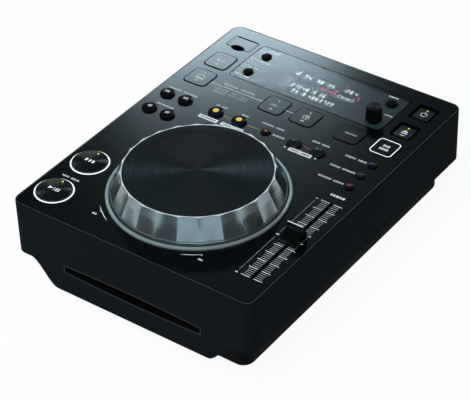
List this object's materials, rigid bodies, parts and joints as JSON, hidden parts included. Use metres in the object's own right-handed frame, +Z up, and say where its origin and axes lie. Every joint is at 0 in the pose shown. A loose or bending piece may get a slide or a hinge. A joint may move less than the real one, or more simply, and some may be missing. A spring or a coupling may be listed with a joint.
{
  "type": "tabletop dj cd player",
  "caption": "Compact tabletop disc player for mixing: front loading disc slot, large turning jog wheel, tempo fader, selector knob, display window and rows of press buttons.",
  "frame": {"origin": "bottom centre of the whole player, rear sockets included, on the table it stands on", "axes": "+Z up, +Y towards the rear sockets, +X towards the tempo fader's side, the player's right hand"},
  "size_m": [0.2186, 0.3, 0.1057],
  "materials": {
    "case_black": "satin",
    "deck_black": "satin",
    "tub_black": "matt",
    "foot_rubber": "matt",
    "steel": "bright",
    "window_smoke": "clear, smoked",
    "button_gloss": "gloss",
    "button_satin": "satin",
    "button_grey": "satin",
    "knob_grey": "satin",
    "jog_silver": "smoked silver",
    "jog_plate_black": "fine turned grooves",
    "bezel_silver": "satin",
    "inner_black": "matt",
    "board_green": "satin",
    "zinc_plate": "satin",
    "roller_rubber": "matt",
    "gear_white": "satin",
    "shield_chrome": "bright",
    "jack_chrome": "bright"
  },
  "bodies": {
    "case": {"upper_case": "case_black", "deck_panel": "deck_black", "bottom_tub": "tub_black", "rubber_feet": "foot_rubber", "case_screws": "steel", "slot_bezel": "inner_black", "display_window": "window_smoke", "usb_socket": "shield_chrome", "jog_bezel": "bezel_silver", "jog_base": "inner_black", "jog_bearing": "steel", "fader_body": "inner_black", "selector_encoder": "inner_black", "control_board": "board_green", "main_board": "board_green", "power_supply": "board_green", "drive_frame": "inner_black", "drive_cover": "zinc_plate", "loading_motor": "steel", "phono_jacks": "jack_chrome", "mains_inlet": "inner_black"},
    "traverse": {"traverse_plate": "zinc_plate", "guide_rods": "steel", "traverse_motors": "steel"},
    "spindle": {"spindle_hub": "inner_black"},
    "sled": {"pickup_sled": "inner_black"},
    "feed": {"feed_gear": "gear_white"},
    "clamp": {"disc_clamp": "inner_black"},
    "roller": {"loading_roller": "roller_rubber"},
    "jog": {"jog_ring": "jog_silver", "jog_plate": "jog_plate_black"},
    "fader": {"fader_cap": "button_satin", "fader_lever": "steel"},
    "selector": {"selector_knob": "knob_grey"},
    "usb_flap": {"usb_cover": "deck_black"},
    "play": {"play_button": "button_gloss"},
    "cue": {"cue_button": "button_gloss"},
    "loop_in": {"loop_in_button": "button_gloss"},
    "loop_out": {"loop_out_button": "button_gloss"},
    "reloop": {"reloop_button": "button_satin"},
    "beat_shorter": {"beat_shorter_button": "button_gloss"},
    "beat_longer": {"beat_longer_button": "button_gloss"},
    "jog_mode": {"jog_mode_button": "button_grey"},
    "tempo_range": {"tempo_range_button": "button_grey"},
    "master_tempo": {"master_tempo_button": "button_grey"},
    "track_back": {"track_back_button": "button_gloss"},
    "track_forward": {"track_forward_button": "button_gloss"},
    "search_back": {"search_back_button": "button_gloss"},
    "search_forward": {"search_forward_button": "button_gloss"},
    "time": {"time_button": "button_gloss"},
    "auto_cue": {"auto_cue_button": "button_gloss"},
    "menu": {"menu_button": "button_gloss"},
    "stop": {"stop_button": "button_gloss"},
    "link": {"link_button": "button_gloss"},
    "usb": {"usb_button": "button_gloss"},
    "disc": {"disc_button": "button_gloss"},
    "playlist": {"playlist_button": "button_satin"},
    "tempo_lock": {"tempo_lock_button": "button_gloss"},
    "power": {"power_button": "button_gloss"},
    "eject": {"eject_button": "button_gloss"}
  },
  "joints": [
    {"name": "traverse_lift", "type": "slide", "parent": "case", "child": "traverse", "axis": [0, 0, 1], "range_m": [0, 0.0043]},
    {"name": "spindle_turn", "type": "hinge", "parent": "traverse", "child": "spindle", "pos_m": [0.0016, -0.053, 0.034], "axis": [0, 0, 1], "continuous": true},
    {"name": "sled_slide", "type": "slide", "parent": "traverse", "child": "sled", "axis": [0, 1, 0], "range_m": [0, 0.032]},
    {"name": "feed_turn", "type": "hinge", "parent": "traverse", "child": "feed", "pos_m": [0.0256, -0.022, 0.031], "axis": [0, 0, 1], "range_deg": [-290, 0]},
    {"name": "clamp_turn", "type": "hinge", "parent": "case", "child": "clamp", "pos_m": [0.0016, -0.053, 0.046], "axis": [0, 0, 1], "continuous": true},
    {"name": "roller_turn", "type": "hinge", "parent": "case", "child": "roller", "pos_m": [0.0016, -0.118, 0.0343], "axis": [1, 0, 0], "continuous": true},
    {"name": "jog_turn", "type": "hinge", "parent": "case", "child": "jog", "pos_m": [0.0016, -0.0635, 0.085], "axis": [0, 0, 1], "continuous": true},
    {"name": "tempo_slide", "type": "slide", "parent": "case", "child": "fader", "axis": [0, 1, 0], "range_m": [-0.049, 0.049]},
    {"name": "selector_turn", "type": "hinge", "parent": "case", "child": "selector", "pos_m": [0.06, 0.087, 0.085], "axis": [0, 0, 1], "continuous": true},
    {"name": "usb_flap_hinge", "type": "hinge", "parent": "case", "child": "usb_flap", "pos_m": [-0.088, 0.12475, 0.08425], "axis": [-1, 0, 0], "range_deg": [0, 100]},
    {"name": "play_press", "type": "slide", "parent": "case", "child": "play", "axis": [0, 0, -1], "range_m": [0, 0.001], "stiffness_N_per_m": 400, "springref_m": -0.0005},
    {"name": "cue_press", "type": "slide", "parent": "case", "child": "cue", "axis": [0, 0, -1], "range_m": [0, 0.001], "stiffness_N_per_m": 400, "springref_m": -0.0005},
    {"name": "loop_in_press", "type": "slide", "parent": "case", "child": "loop_in", "axis": [0, 0, -1], "range_m": [0, 0.001], "stiffness_N_per_m": 400, "springref_m": -0.0005},
    {"name": "loop_out_press", "type": "slide", "parent": "case", "child": "loop_out", "axis": [0, 0, -1], "range_m": [0, 0.001], "stiffness_N_per_m": 400, "springref_m": -0.0005},
    {"name": "reloop_press", "type": "slide", "parent": "case", "child": "reloop", "axis": [0, 0, -1], "range_m": [0, 0.001], "stiffness_N_per_m": 400, "springref_m": -0.0005},
    {"name": "beat_shorter_press", "type": "slide", "parent": "case", "child": "beat_shorter", "axis": [0, 0, -1], "range_m": [0, 0.001], "stiffness_N_per_m": 400, "springref_m": -0.0005},
    {"name": "beat_longer_press", "type": "slide", "parent": "case", "child": "beat_longer", "axis": [0, 0, -1], "range_m": [0, 0.001], "stiffness_N_per_m": 400, "springref_m": -0.0005},
    {"name": "jog_mode_press", "type": "slide", "parent": "case", "child": "jog_mode", "axis": [0, 0, -1], "range_m": [0, 0.001], "stiffness_N_per_m": 400, "springref_m": -0.0005},
    {"name": "tempo_range_press", "type": "slide", "parent": "case", "child": "tempo_range", "axis": [0, 0, -1], "range_m": [0, 0.001], "stiffness_N_per_m": 400, "springref_m": -0.0005},
    {"name": "master_tempo_press", "type": "slide", "parent": "case", "child": "master_tempo", "axis": [0, 0, -1], "range_m": [0, 0.001], "stiffness_N_per_m": 400, "springref_m": -0.0005},
    {"name": "track_back_press", "type": "slide", "parent": "case", "child": "track_back", "axis": [0, 0, -1], "range_m": [0, 0.001], "stiffness_N_per_m": 400, "springref_m": -0.0005},
    {"name": "track_forward_press", "type": "slide", "parent": "case", "child": "track_forward", "axis": [0, 0, -1], "range_m": [0, 0.001], "stiffness_N_per_m": 400, "springref_m": -0.0005},
    {"name": "search_back_press", "type": "slide", "parent": "case", "child": "search_back", "axis": [0, 0, -1], "range_m": [0, 0.001], "stiffness_N_per_m": 400, "springref_m": -0.0005},
    {"name": "search_forward_press", "type": "slide", "parent": "case", "child": "search_forward", "axis": [0, 0, -1], "range_m": [0, 0.001], "stiffness_N_per_m": 400, "springref_m": -0.0005},
    {"name": "time_press", "type": "slide", "parent": "case", "child": "time", "axis": [0, 0, -1], "range_m": [0, 0.001], "stiffness_N_per_m": 400, "springref_m": -0.0005},
    {"name": "auto_cue_press", "type": "slide", "parent": "case", "child": "auto_cue", "axis": [0, 0, -1], "range_m": [0, 0.001], "stiffness_N_per_m": 400, "springref_m": -0.0005},
    {"name": "menu_press", "type": "slide", "parent": "case", "child": "menu", "axis": [0, 0, -1], "range_m": [0, 0.001], "stiffness_N_per_m": 400, "springref_m": -0.0005},
    {"name": "stop_press", "type": "slide", "parent": "case", "child": "stop", "axis": [0, 0, -1], "range_m": [0, 0.001], "stiffness_N_per_m": 400, "springref_m": -0.0005},
    {"name": "link_press", "type": "slide", "parent": "case", "child": "link", "axis": [0, 0, -1], "range_m": [0, 0.001], "stiffness_N_per_m": 400, "springref_m": -0.0005},
    {"name": "usb_press", "type": "slide", "parent": "case", "child": "usb", "axis": [0, 0, -1], "range_m": [0, 0.001], "stiffness_N_per_m": 400, "springref_m": -0.0005},
    {"name": "disc_press", "type": "slide", "parent": "case", "child": "disc", "axis": [0, 0, -1], "range_m": [0, 0.001], "stiffness_N_per_m": 400, "springref_m": -0.0005},
    {"name": "playlist_press", "type": "slide", "parent": "case", "child": "playlist", "axis": [0, 0, -1], "range_m": [0, 0.001], "stiffness_N_per_m": 400, "springref_m": -0.0005},
    {"name": "tempo_lock_press", "type": "slide", "parent": "case", "child": "tempo_lock", "axis": [0, 0, -1], "range_m": [0, 0.001], "stiffness_N_per_m": 400, "springref_m": -0.0005},
    {"name": "power_press", "type": "slide", "parent": "case", "child": "power", "axis": [0, 0, -1], "range_m": [0, 0.001], "stiffness_N_per_m": 400, "springref_m": -0.0005},
    {"name": "eject_press", "type": "slide", "parent": "case", "child": "eject", "axis": [0, 0, -1], "range_m": [0, 0.001], "stiffness_N_per_m": 400, "springref_m": -0.0005}
  ],
  "couplings": [
    {"joint": "feed_turn", "follows": "sled_slide", "rad_per_m": -156.25}
  ]
}
